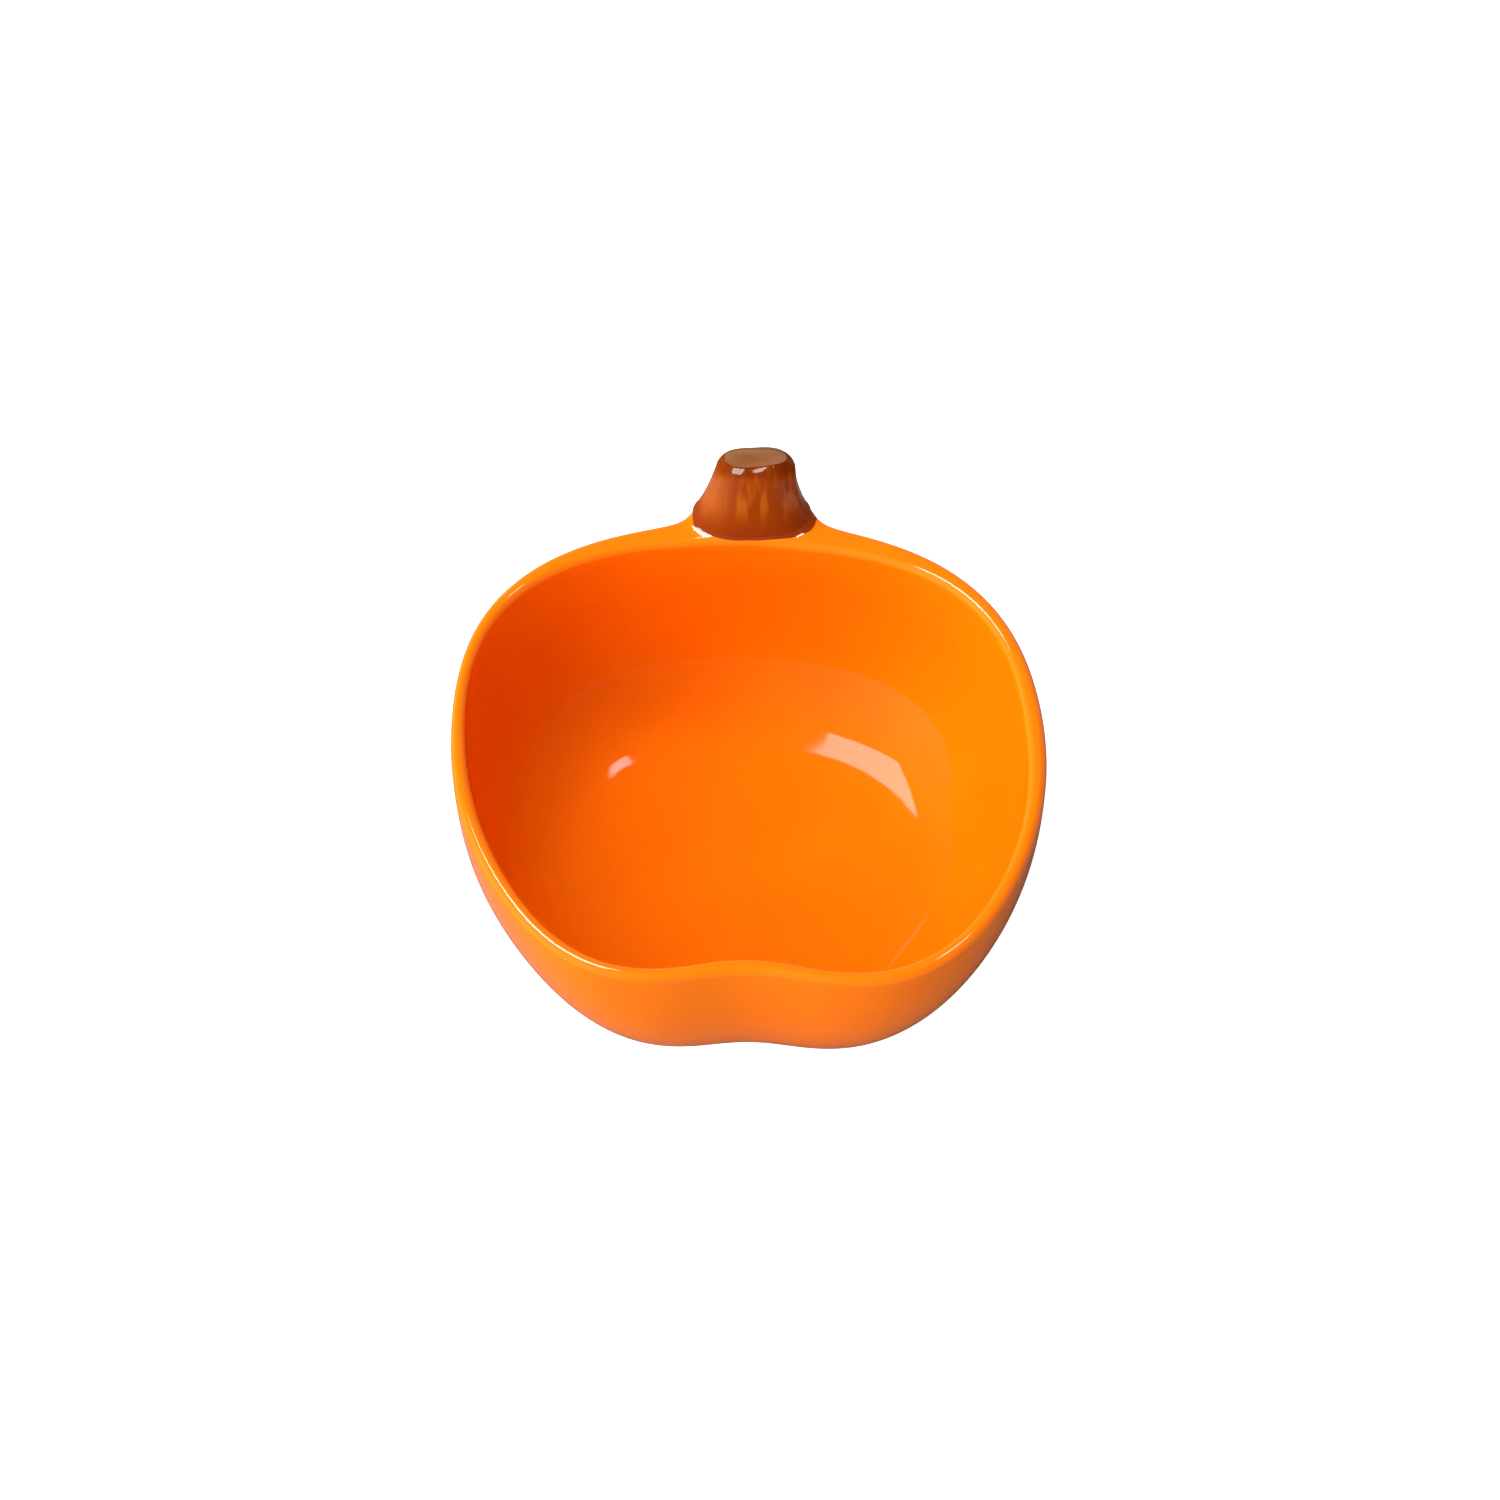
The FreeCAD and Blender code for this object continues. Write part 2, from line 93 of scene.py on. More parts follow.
# Points along each part of a bowl profile, and profiles round the bowl.
N_FOOT, N_WALL, N_ARC, N_TOP, N_INSIDE, N_FLOOR = 12, 76, 11, 34, 96, 14
LIP_OUT = N_FOOT + N_WALL + N_ARC - 3     # index of the outer end of the lip's flat top
LIP_IN = LIP_OUT + N_TOP - 1              # and of its inner end
N_PHI = 420


# ------------------------------------------------------------------ curves
def smooth(x):
    x = np.clip(x, 0, 1)
    return x * x * (3 - 2 * x)


def ellipse_radius(phi, half_x, half_y):
    return 1 / np.hypot(np.sin(phi) / half_x, np.cos(phi) / half_y)


def path_length(r, z):
    """Length along a polyline up to each of its points."""
    return np.concatenate([[0], np.cumsum(np.hypot(np.diff(r), np.diff(z)))])


def resample(r, z, count):
    """The polyline as count evenly spaced points."""
    length = path_length(r, z)
    even = np.linspace(0, 1, count) * length[-1]
    return np.array([np.interp(even, length, r), np.interp(even, length, z)])


def stretch(values, count):
    return np.interp(np.linspace(0, 1, count), np.linspace(0, 1, len(values)), values)


def blur(r, z, sigma):
    """Round a profile off over about sigma mm, ends held."""
    step = 0.25
    reach = int(4 * sigma / step)
    weights = np.exp(-0.5 * (np.arange(-reach, reach + 1) * step / sigma) ** 2)
    weights /= weights.sum()
    out = []
    for v in resample(r, z, max(16, int(path_length(r, z)[-1] / step))):
        before, after = 2 * v[0] - v[reach:0:-1], 2 * v[-1] - v[-2:-reach - 2:-1]
        out.append(np.convolve(np.concatenate([before, v, after]), weights, "valid"))
    return out


def bezier(a, b, c, d, q):
    return ((1 - q) ** 3 * a + 3 * q * (1 - q) ** 2 * b
            + 3 * q * q * (1 - q) * c + q ** 3 * d)


def spline(knots, values, q):
    """Natural cubic spline."""
    n = len(knots)
    h = np.diff(knots)
    system, right = np.zeros((n, n)), np.zeros(n)
    system[0, 0] = system[-1, -1] = 1
    for i in range(1, n - 1):
        system[i, i - 1:i + 2] = h[i - 1], 2 * (h[i - 1] + h[i]), h[i]
        right[i] = 6 * ((values[i + 1] - values[i]) / h[i]
                        - (values[i] - values[i - 1]) / h[i - 1])
    bend = np.linalg.solve(system, right)
    i = np.clip(np.searchsorted(knots, q) - 1, 0, n - 2)
    t0, t1 = knots[i + 1] - q, q - knots[i]
    return ((bend[i] * t0 ** 3 + bend[i + 1] * t1 ** 3) / (6 * h[i])
            + (values[i] / h[i] - bend[i] * h[i] / 6) * t0
            + (values[i + 1] / h[i] - bend[i + 1] * h[i] / 6) * t1)


def superellipse(turn, power):
    """Unit superellipse: x and y at each angle."""
    c, s = np.cos(turn), np.sin(turn)
    return (np.sign(c) * np.abs(c) ** (2 / power), np.sign(s) * np.abs(s) ** (2 / power))


# ------------------------------------------------------------------ bowl form
def outline(rim, phi):
    r = sum(c * np.cos(k * phi) for k, c in enumerate(rim["cosines"]))
    r = r + sum(s * np.sin((k + 1) * phi) for k, s in enumerate(rim["sines"]))
    return r - rim["dip"] * np.exp(-(phi / rim["span"]) ** 2)


def fullness(phi):
    """Power of the wall curve."""
    u = math.cos(phi) ** 2
    if math.cos(phi) > 0:
        return FULL_SIDES * (1 - u) ** 2 + 2 * FULL_BETWEEN * u * (1 - u) + FULL_ENDS * u * u
    return FULL_SIDES + (FULL_ENDS - FULL_SIDES) * u


def lug(phi, z):
    """How far the lug stands out of the wall."""
    away = abs((phi + LUG_TURN) % (2 * math.pi) - math.pi)
    rise = np.clip((z - LUG_LOW) / (HEIGHT - LUG_LOW), 0, 1) ** 2.2
    span = LUG_SPAN * (1 + 0.55 * (1 - rise))
    return LUG_REACH * rise / (1 + (away / span) ** 6)


def side_curve(phi):
    """Glazed outside in the vertical plane at phi, from the foot up, without the lug."""
    base = ellipse_radius(phi, *CURVE_BASE) - DENT * math.exp(-(phi / DENT_SPAN) ** 2)
    rim, power = outline(OUTER, phi), fullness(phi)
    t = CURVE_START + (1 - CURVE_START) * np.linspace(0, 1, 260) ** 1.6
    r = base + (rim - base) * (1 - (1 - t) ** power) ** (1 / power)
    z = CURVE_BASE_Z + t * (HEIGHT - CURVE_BASE_Z)
    # heel: the point where the wall reaches the heel slope
    slope = np.diff(z) / np.diff(r)
    k = int(np.argmax(slope >= math.tan(HEEL)))
    part = (math.tan(HEEL) - slope[k - 1]) / (slope[k] - slope[k - 1])
    heel_r, heel_z = (mid[k - 1] + (mid[k] - mid[k - 1]) * part
                      for mid in ((r[1:] + r[:-1]) / 2, (z[1:] + z[:-1]) / 2))
    # underside: a Bezier curve from the foot to the heel
    foot_r = ellipse_radius(phi, *CLAY_FOOT) + 1.0
    span = math.hypot(heel_r - foot_r, heel_z - FOOT_TOP)
    leave, arrive = 0.5 * span, 0.35 * span
    q = np.linspace(0, 1, 60)
    under_r = bezier(foot_r, foot_r + leave * math.cos(FOOT_SLOPE),
                     heel_r - arrive * math.cos(HEEL), heel_r, q)
    under_z = bezier(FOOT_TOP, FOOT_TOP + leave * math.sin(FOOT_SLOPE),
                     heel_z - arrive * math.sin(HEEL), heel_z, q)
    above = z > heel_z + 0.25
    return np.concatenate([under_r, r[above]]), np.concatenate([under_z, z[above]])


def outside_profile(phi, r, z, lip_z):
    """Foot and wall, up to where the lip starts to round over."""
    foot_r = ellipse_radius(phi, *GLAZE_FOOT)
    a = np.linspace(0, math.pi / 2, 9)
    round_r = foot_r + FOOT_ROUND - FOOT_ROUND * np.cos(a)
    round_z = FOOT_TOP - FOOT_ROUND + FOOT_ROUND * np.sin(a)
    foot = resample(np.concatenate([[foot_r, foot_r], round_r]),
                    np.concatenate([[FOOT_LINE, FOOT_LINE + 0.1], round_z]), N_FOOT)
    start_r = round_r[-1]
    wall_r = r + lug(phi, z)
    keep = (z < lip_z) & (wall_r > start_r + 0.2)
    soft_r, soft_z = blur(np.append(start_r, wall_r[keep]), np.append(FOOT_TOP, z[keep]), 1.2)
    end_r = np.interp(lip_z, z, wall_r)
    wall = resample(np.concatenate([[start_r], soft_r, [end_r]]),
                    np.concatenate([[round_z[-1]], soft_z, [lip_z]]), N_WALL)
    return foot, wall


def inside_profile(r, z, rim_out, rim_in, lip_z):
    """Inside wall from the lip down, and floor: the outside moved in by the wall."""
    dr, dz = np.gradient(r), np.gradient(z)
    length = np.hypot(dr, dz) + 1e-12
    widen = smooth((z - BEND) / (HEIGHT - BEND - 2.0))
    thick = WALL + (rim_out - rim_in - WALL) * widen
    in_r, in_z = r - dz / length * thick, z + dr / length * thick
    rising = np.concatenate([[True], np.diff(np.maximum.accumulate(in_z)) > 0])
    good = rising & (in_z < lip_z)
    in_r, in_z = np.append(rim_in, in_r[good][::-1]), np.append(lip_z, in_z[good][::-1])
    # then in at the foot slope to the floor
    floor_r = in_r[-1] - (in_z[-1] - FLOOR) / math.tan(FOOT_SLOPE)
    sharp = resample(np.append(in_r, [floor_r, 0.0]), np.append(in_z, [FLOOR, FLOOR]), 400)
    # strongly rounded low down, only lightly on the wall
    soft = blur(*sharp, 7.0)
    count = len(soft[0])
    light = [stretch(v, count) for v in blur(*(stretch(v, count) for v in sharp), 2.0)]
    w = smooth((soft[1] - BEND) / 8.0)
    in_r, in_z = (a * (1 - w) + b * w for a, b in zip(soft, light))
    middle = max(4.0, 0.30 * in_r.max())
    height_at = lambda radius: np.interp(radius, in_r[::-1], in_z[::-1])
    hold = in_r > middle
    wall = resample(np.append(in_r[hold], middle),
                    np.append(in_z[hold], height_at(middle)), N_INSIDE)
    floor_r = np.linspace(middle, 0.0, N_FLOOR)
    return wall, np.array([floor_r, height_at(floor_r)])


def bowl_profile(phi):
    """Points (r, z) of the glazed surface from the foot line, up the outside, over
    the lip and down the inside to just short of the middle."""
    r, z = side_curve(phi)
    rim_out, rim_in = outline(OUTER, phi), outline(INNER, phi)
    lip_out = rim_out + lug(phi, HEIGHT)
    corner = min(LIP_ROUND, LIP_SHARE * (lip_out - rim_in))
    lip_z = HEIGHT - corner
    foot, wall = outside_profile(phi, r, z, lip_z)
    q = np.linspace(0, math.pi / 2, N_ARC)
    arc_out = np.array([lip_out - corner + corner * np.cos(q), lip_z + corner * np.sin(q)])
    arc_in = np.array([rim_in + corner - corner * np.sin(q), lip_z + corner * np.cos(q)])
    top = np.array([np.linspace(lip_out - corner, rim_in + corner, N_TOP),
                    np.full(N_TOP, HEIGHT)])
    inside, floor = inside_profile(r, z, rim_out, rim_in, lip_z)
    joined = [part[:, 1:] for part in (wall, arc_out, top, arc_in, inside)]
    return np.hstack([foot, *joined, floor[:, 1:-1]])


def angles():
    """Angles round the bowl, closer together at the stem and the front dip."""
    q = np.linspace(-math.pi, math.pi, 20001)
    from_back = np.pi - np.abs(q)
    density = 1 + 2.6 / (1 + (from_back / 0.34) ** 6) + 0.4 * np.exp(-(q / 0.5) ** 2)
    total = np.concatenate([[0], np.cumsum(0.5 * (density[1:] + density[:-1]))])
    return np.interp(np.arange(N_PHI) / N_PHI, total / total[-1], q)


def edge_distance(x, y):
    """About how far (mm) a plan point lies outside the stem's base outline."""
    n = EDGE_POWER
    u, v = (np.abs((p - c) / half) for p, c, half in zip((x, y), EDGE_CENTRE, EDGE_HALF))
    f = (u ** n + v ** n) ** (1 / n)
    steepness = np.hypot(u ** (n - 1) / EDGE_HALF[0], v ** (n - 1) / EDGE_HALF[1])
    steepness = steepness / np.maximum(f, 1e-6) ** (n - 1)
    return (f - 1) / np.maximum(steepness, 1e-6)


def flare(distance):
    """Height of the concave sweep from the lip up into the stem."""
    return np.where(distance > 0, FLARE_HEIGHT * np.exp(-np.maximum(distance, 0) / 1.6),
                    FLARE_HEIGHT - 0.47 * np.maximum(distance, -1.7))


def bowl_grid():
    """Profiles round the bowl: angles, r, x, y, z, distance from the stem's outline, and
    a mask of the lip's crown on the stem's side."""
    phis = angles()
    profiles = np.array([bowl_profile(phi) for phi in phis])
    r, z = profiles[:, 0], profiles[:, 1]
    x, y = r * np.sin(phis)[:, None], -r * np.cos(phis)[:, None]
    crown = smooth((z - (HEIGHT - 7.0)) / 6.0) * (np.abs(x) < 60) * (y > 30)
    return phis, r, x, y, z, edge_distance(x, y), crown


# ------------------------------------------------------------------ mesh helpers
def new_mesh(name, verts, faces, attributes=None):
    me = bpy.data.meshes.new(name)
    me.from_pydata([tuple(v) for v in (np.asarray(verts) * MM)], [], faces)
    me.validate()
    me.update()
    me.polygons.foreach_set("use_smooth", [True] * len(me.polygons))
    for key, values in (attributes or {}).items():
        attribute = me.attributes.new(key, "FLOAT", "POINT")
        attribute.data.foreach_set("value", np.asarray(values, np.float32))
    ob = bpy.data.objects.new(name, me)
    bpy.context.scene.collection.objects.link(ob)
    return ob


def thicken(ob, thickness):
    """Give a glaze surface its thickness, inwards."""
    m = ob.modifiers.new("coat", "SOLIDIFY")
    m.thickness = thickness * MM
    m.offset = -1.0
    m.use_even_offset = False
    m.use_rim = True
    m.use_quality_normals = True
    dg = bpy.context.evaluated_depsgraph_get()
    me = bpy.data.meshes.new_from_object(ob.evaluated_get(dg), depsgraph=dg)
    ob.modifiers.clear()
    old = ob.data
    ob.data = me
    bpy.data.meshes.remove(old)
    me.polygons.foreach_set("use_smooth", [True] * len(me.polygons))
    return ob


def draw_in(grid, around):
    """Move a grid of points inwards to the clay; around is its axis round the form."""
    round_it = np.roll(grid, -1, axis=around) - np.roll(grid, 1, axis=around)
    normal = np.cross(round_it, np.gradient(grid, axis=1 - around))
    normal /= np.linalg.norm(normal, axis=-1, keepdims=True) + 1e-12
    return grid - normal * INSET


def bowl_faces(n, m, top, low=None, hole=frozenset()):
    """Faces of n profiles of m points, closed at vertex top and, if given, at low.
    Quads with all four corners in hole are left out."""
    faces = []
    for i in range(n):
        j = (i + 1) % n
        if low is not None:
            faces.append((j * m, i * m, low))
        for k in range(m - 1):
            quad = (i * m + k, j * m + k, j * m + k + 1, i * m + k + 1)
            if not hole.issuperset(quad):
                faces.append(quad)
        faces.append((i * m + m - 1, j * m + m - 1, top))
    return faces


def tube_faces(n_rows, n, top, low=None):
    """Faces of n_rows rings of n points, closed at vertex top and, if given, at low."""
    faces = [(k * n + i, k * n + (i + 1) % n, (k + 1) * n + (i + 1) % n, (k + 1) * n + i)
             for k in range(n_rows - 1) for i in range(n)]
    for i in range(n):
        j = (i + 1) % n
        faces.append(((n_rows - 1) * n + i, (n_rows - 1) * n + j, top))
        if low is not None:
            faces.append((j, i, low))
    return faces


# ------------------------------------------------------------------ bowl pieces
def build_bowl_glaze():
    """Orange glaze surface, open under the stem and at the foot line."""
    _, r, x, y, z, distance, crown = bowl_grid()
    z = z + crown * flare(distance)
    n, m = r.shape
    length = np.array([path_length(*row) for row in zip(r, z)])
    top_out, top_in = length[:, LIP_OUT][:, None], length[:, LIP_IN][:, None]
    away = np.maximum(np.maximum(top_out - length, length - top_in), 0)
    masks = {"lip": np.exp(-(away / 2.6) ** 2),
             "foot": np.exp(-(np.maximum(length - 1.2, 0) / 1.5) ** 2),
             "inside": smooth((length - top_in) / 3.0)}
    masks = {key: np.append(a.reshape(-1), a[:, -1].mean()) for key, a in masks.items()}
    verts = np.vstack([np.stack([x, y, z], -1).reshape(-1, 3), [[0, 0, z[:, -1].mean()]]])
    # hole in the crown of the lip, hidden by the stem
    hole = distance < -1.6
    hole[:, :LIP_OUT - 4] = False
    hole[:, LIP_IN + 8:] = False
    faces = bowl_faces(n, m, top=n * m, hole=set(np.flatnonzero(hole).tolist()))
    ob = new_mesh("orange_glaze_coat", verts, faces, masks)
    bm = bmesh.new()
    bm.from_mesh(ob.data)
    bmesh.ops.delete(bm, geom=[v for v in bm.verts if not v.link_faces], context="VERTS")
    bm.to_mesh(ob.data)
    bm.free()
    return ob


def build_clay_bowl():
    """Clay under the glaze: the glazed form drawn in along its normals, with the
    pocket for the stem in the lip and an unglazed foot ring below."""
    phis, _, x, y, z, distance, crown = bowl_grid()
    z = z + crown * np.where(distance > 0, flare(distance), FLARE_HEIGHT)
    grid = draw_in(np.stack([x, y, z], -1), around=0)
    pocket = (distance < 0.6) & (grid[..., 2] > SOCKET_FLOOR) & (y > 55)
    grid[..., 2] = np.where(pocket, SOCKET_FLOOR, grid[..., 2])
    ring = []
    for offset, ring_z in FOOT_RING:
        r = ellipse_radius(phis, CLAY_FOOT[0] + offset, CLAY_FOOT[1] + offset)
        ring.append(np.stack([r * np.sin(phis), -r * np.cos(phis),
                              np.full(len(phis), ring_z)], -1))
    grid = np.concatenate([np.stack(ring, axis=1), grid[:, 1:]], axis=1)
    n, m = grid.shape[:2]
    verts = np.vstack([grid.reshape(-1, 3), [[0, 0, FOOT_RING[0][1]]],
                       [[0, 0, grid[:, -1, 2].mean()]]])
    return new_mesh("clay_bowl", verts, bowl_faces(n, m, low=n * m, top=n * m + 1))


# ------------------------------------------------------------------ stem (mm)
# centre y, centre z, half-width, half-depth, lean back (deg), shift in x
STEM = np.array([
    (75.70, 57.90, 14.60, 8.25, 0.0, 0.00),
    (75.70, 58.80, 15.05, 8.42, 0.0, 0.00),
    (75.75, 59.35, 15.20, 8.52, 0.8, 0.00),
    (76.10, 59.88, 14.72, 8.60, 2.6, 0.03),
    (76.78, 60.60, 14.05, 8.60, 5.6, 0.08),
    (77.80, 61.75, 13.20, 8.48, 9.6, 0.16),
    (79.25, 63.50, 12.15, 8.20, 14.5, 0.31),
    (81.15, 66.20, 10.95, 7.78, 20.8, 0.56),
    (82.85, 68.80, 10.25, 7.46, 26.0, 0.80),
    (84.25, 71.10, 9.90, 7.25, 30.0, 1.00),
])
STEM_BASE = (STEM_X, STEM[0, 0], STEM[0, 1])
TIP_POWER = 2.70                    # superellipse power of the section at the tip
RIDGES = ((5, 0.010, 0.6), (8, 0.007, 2.0), (11, 0.004, 4.1))   # count, height, phase
N_STEM = 160

# Slip bed: half-width, half-depth, z
SLIP = ((13.6, 7.3, 57.26), (13.95, 7.65, 57.34), (14.15, 7.85, 57.57),
        (13.95, 7.65, 57.80), (13.6, 7.3, 57.88))


def stem_grid():
    """Rings of the glazed stem from its base to near the middle of the cap, the axis of
    its end, and vertex attributes without the closing vertex."""
    knots = path_length(STEM[:, 0], STEM[:, 1])
    root, neck, tip = knots[3], knots[4], knots[-1]
    lengths = np.concatenate([np.linspace(0, neck, 20)[:-1], np.linspace(neck, tip, 44)])
    stations = np.array([spline(knots, column, lengths) for column in STEM.T]).T
    turn = np.linspace(0, 2 * math.pi, N_STEM, endpoint=False)
    rows = []
    for length, (y, z, half_width, half_depth, lean, shift) in zip(lengths, stations):
        grow = smooth((length - root) / (tip - root))
        ribbed = 3.2 * grow * (1 - grow) + 0.12 * grow
        ridges = 1 + ribbed * sum(high * np.cos(count * turn + phase)
                                  for count, high, phase in RIDGES)
        u, v = superellipse(turn, EDGE_POWER + (TIP_POWER - EDGE_POWER) * grow)
        u, v = half_width * ridges * u, half_depth * ridges * v
        lean = math.radians(lean)
        rows.append(np.stack([STEM_X + shift + u, y + v * math.cos(lean),
                              z - v * math.sin(lean)], -1))
    # lean, y, z and shift are now those of the tip
    axis = np.array([0, math.sin(lean), math.cos(lean)])
    backward = np.array([0, math.cos(lean), -math.sin(lean)])
    centre = np.array([STEM_X + shift, y, z])

    # rounded end: full at the front, tighter round the back, meeting the cap in a crease
    last = rows[-1] - centre
    reach = np.linalg.norm(last, axis=1)[:, None]
    outward = last / reach
    front = smooth(-np.sin(turn) * 1.15)[:, None]
    radius = 2.4 + 2.9 * front
    end = np.radians(80.0 - 25.0 * front)
    tall = radius * np.sin(end)
    while np.mean((rows[-1] - centre) @ axis) > -tall.max() - 0.2:
        rows.pop()
    n_body = len(rows)
    band = [np.zeros(N_STEM)] * n_body
    for t in np.linspace(0, 1, 12):
        lift = radius * np.sin(end * t) - tall
        inward = radius * (1 - np.cos(end * t)) + 0.11 * lift
        rows.append(centre + outward * (reach - inward) + axis * lift)
        band.append(smooth((lift[:, 0] + 4.4) / 3.0))
    n_sides = len(rows)
    crease = reach - radius * (1 - np.cos(end))
    for t in np.concatenate([[0.02], np.linspace(0, 1, 16)[1:-1]]):
        rows.append(centre + outward * crease * (1 - t) + axis * 0.30 * (1 - (1 - t) ** 2))
        band.append(np.zeros(N_STEM))
    grid = np.array(rows)

    # the end is a little uneven: its front edge runs in a shallow S
    rel = grid - centre
    side, depth = rel[..., 0] / 9.8, (rel @ backward) / 7.2
    near_end = smooth((rel @ axis + 5.0) / 5.0)
    wavy = (-0.34 * np.sin(2.6 * (0.1 - side)) * (0.6 - 0.5 * depth)
            - 0.10 * np.cos(5.2 * side + 0.7))
    crown = (1.15 * (1 - np.clip(side, -1, 1) ** 2) * smooth(0.5 + 0.6 * depth)
             - 0.75 * smooth(0.5 - 0.7 * depth))
    grid = grid + (near_end * (wavy + crown))[..., None] * axis

    n_rows = len(grid)
    up = np.concatenate([lengths[:n_body] / tip, np.ones(n_rows - n_body)])
    cap = (np.arange(n_rows) >= n_sides).astype(float)
    return grid, axis, {"up": up.repeat(N_STEM), "around": np.tile(turn, n_rows),
                        "cap": cap.repeat(N_STEM), "band": np.concatenate(band)}


def build_stem_glaze():
    """Brown glaze surface, open at the base."""
    grid, axis, attributes = stem_grid()
    at_tip = {"up": 1.0, "around": 0.0, "cap": 1.0, "band": 0.0}
    attributes = {key: np.append(a, at_tip[key]) for key, a in attributes.items()}
    verts = np.vstack([grid.reshape(-1, 3), [grid[-1].mean(0) + axis * 0.004]])
    faces = tube_faces(len(grid), N_STEM, top=len(grid) * N_STEM)
    return new_mesh("brown_glaze_coat", verts, faces, attributes)


def build_clay_stem():
    """Clay stem just inside the glaze, with a flat base."""
    grid = draw_in(stem_grid()[0], around=1)
    grid[0, :, 2] = STEM_BASE[2]
    verts = np.vstack([grid.reshape(-1, 3), [grid[-1].mean(0)], [STEM_BASE]])
    top = len(grid) * N_STEM
    return new_mesh("clay_stem", verts, tube_faces(len(grid), N_STEM, top=top, low=top + 1))


def build_slip():
    """Thin bed of slip between the stem and the floor of its pocket, squeezed out round."""
    n = 96
    turn = np.linspace(0, 2 * math.pi, n, endpoint=False)
    u, v = superellipse(turn, EDGE_POWER)
    uneven = 1 + 0.012 * np.cos(3 * turn + 0.8) + 0.008 * np.cos(7 * turn + 2.2)
    x, y = STEM_BASE[:2]
    rows = [np.stack([x + a * uneven * u, y + b * uneven * v, np.full(n, z)], -1)
            for a, b, z in SLIP]
    verts = np.vstack([*rows, [[x, y, SLIP[0][2]]], [[x, y, SLIP[-1][2]]]])
    low = len(SLIP) * n
    return new_mesh("slip_bed", verts, tube_faces(len(SLIP), n, top=low + 1, low=low))


# ------------------------------------------------------------------ materials
def srgb(*channels):
    out = []
    for v in channels:
        v /= 255.0
        out.append(v / 12.92 if v <= 0.04045 else ((v + 0.055) / 1.055) ** 2.4)
    return (*out, 1.0)


class Nodes:
    """Node tree of a material or world. Inputs take a number, a tuple or a socket."""

    def __init__(self, owner):
        self.owner = owner
        owner.use_nodes = True
        self.tree = owner.node_tree

    def feed(self, socket, value):
        if isinstance(value, bpy.types.NodeSocket):
            self.tree.links.new(value, socket)
        else:
            socket.default_value = value

    def new(self, kind, inputs=None, **props):
        node = self.tree.nodes.new(kind)
        for key, value in props.items():
            setattr(node, key, value)
        for key, value in (inputs or {}).items():
            self.feed(node.inputs[key], value)
        return node

    def set(self, node_name, **values):
        for key, value in values.items():
            self.feed(self.tree.nodes[node_name].inputs[key.replace("_", " ")], value)

    def attribute(self, name):
        return self.new("ShaderNodeAttribute", attribute_name=name).outputs["Fac"]

    def coords(self):
        return self.new("ShaderNodeTexCoord").outputs["Object"]

    def axes(self, vector=None):
        return self.new("ShaderNodeSeparateXYZ", {0: vector or self.coords()}).outputs

    def noise(self, scale, detail=2.0, rough=0.5, vector=None):
        inputs = {"Scale": scale, "Detail": detail, "Roughness": rough,
                  "Vector": vector or self.coords()}
        return self.new("ShaderNodeTexNoise", inputs).outputs["Fac"]

    def math(self, operation, *values, clamp=False):
        inputs = dict(enumerate(values))
        return self.new("ShaderNodeMath", inputs, operation=operation,
                        use_clamp=clamp).outputs[0]

    def add(self, a, b, clamp=False):
        return self.math("ADD", a, b, clamp=clamp)

    def multiply(self, a, b, clamp=False):
        return self.math("MULTIPLY", a, b, clamp=clamp)

    def invert(self, value):
        return self.math("SUBTRACT", 1.0, value)

    def scaled(self, value, factor, offset):
        return self.add(self.multiply(value, factor), offset)

    def distance(self, value, centre):
        return self.math("ABSOLUTE", self.math("SUBTRACT", value, centre))

    def mix(self, fac, a, b):
        return self.new("ShaderNodeMix", {0: fac, 6: a, 7: b}, data_type="RGBA").outputs[2]

    def ramp(self, value, start, end, low=0.0, high=1.0):
        """Smooth step from low at start to high at end."""
        inputs = {"Value": value, "From Min": start, "From Max": end,
                  "To Min": low, "To Max": high}
        return self.new("ShaderNodeMapRange", inputs, interpolation_type="SMOOTHSTEP",
                        clamp=True).outputs["Result"]

    def bump(self, height, distance, strength, normal=None):
        inputs = {"Distance": distance, "Strength": strength, "Height": height}
        if normal:
            inputs["Normal"] = normal
        return self.new("ShaderNodeBump", inputs).outputs["Normal"]


def new_material(name):
    return Nodes(bpy.data.materials.new(name))


def brown_colour(m, up):
    """Brushed brown with soft lengthwise streaks: darker and redder at the base as a painted
    reflection of the orange bowl, and lighter on the left flank as painted light from the
    left.
    """
    mapping = m.new("ShaderNodeMapping", {"Vector": m.coords(),
                                          "Rotation": (math.radians(28), 0, 0),
                                          "Scale": (1.0, 0.35, 0.07)})
    streak = m.noise(scale=330.0, vector=mapping.outputs["Vector"])
    streak = m.multiply(m.ramp(streak, start=0.46, end=0.66), m.ramp(up, start=0.15, end=0.5))
    colour = m.mix(streak, srgb(138, 54, 2), srgb(166, 80, 9))
    # lighter left flank: painted light from the left
    painted_lit_flank = m.invert(m.ramp(m.axes()["X"], start=-0.0105, end=-0.0035))
    painted_lit_flank = m.multiply(m.multiply(painted_lit_flank, m.ramp(up, start=0.15, end=0.45)), 0.65)
    colour = m.mix(painted_lit_flank, colour, srgb(172, 86, 12))
    # painted reflection of the orange bowl: darker and redder towards the base
    base = m.multiply(m.invert(m.ramp(up, start=0.05, end=0.50)), 0.5)
    return m.mix(base, colour, srgb(132, 41, 0))


